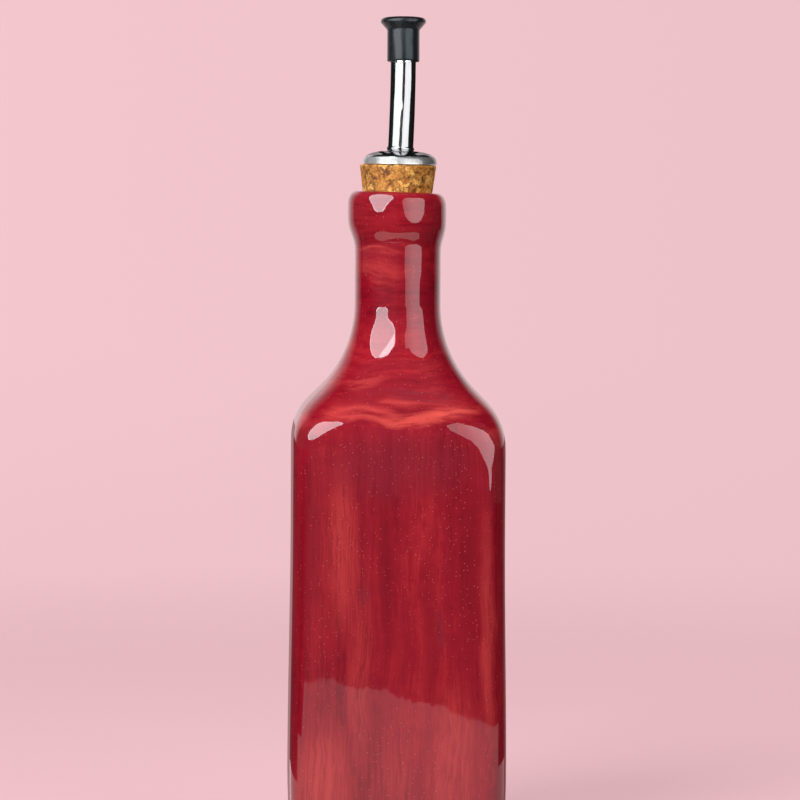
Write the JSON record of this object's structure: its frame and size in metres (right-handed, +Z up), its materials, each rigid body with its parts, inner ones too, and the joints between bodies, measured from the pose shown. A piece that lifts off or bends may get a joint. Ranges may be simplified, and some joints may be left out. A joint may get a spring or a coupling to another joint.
{
  "type": "oil bottle",
  "caption": "Square red-glazed ceramic oil bottle with a round neck and rolled lip, closed by a cork pourer with a domed metal flange, a slim metal spout and a black cap.",
  "frame": {"origin": "centre of the underside", "axes": "+Z up, -Y the front, +X to the right seen from the front"},
  "size_m": [0.0714, 0.0714, 0.2724],
  "materials": {
    "red_glaze": "gloss, brushed-on colour under clear glaze",
    "pressed_cork": "matt, pressed cork granules",
    "bright_chrome": "bright polished",
    "black_cap": "satin"
  },
  "bodies": {
    "root": {"bottle": "red_glaze", "cork": "pressed_cork", "spout_flange": "bright_chrome", "spout_tube": "bright_chrome", "spout_cap": "black_cap"}
  },
  "joints": []
}
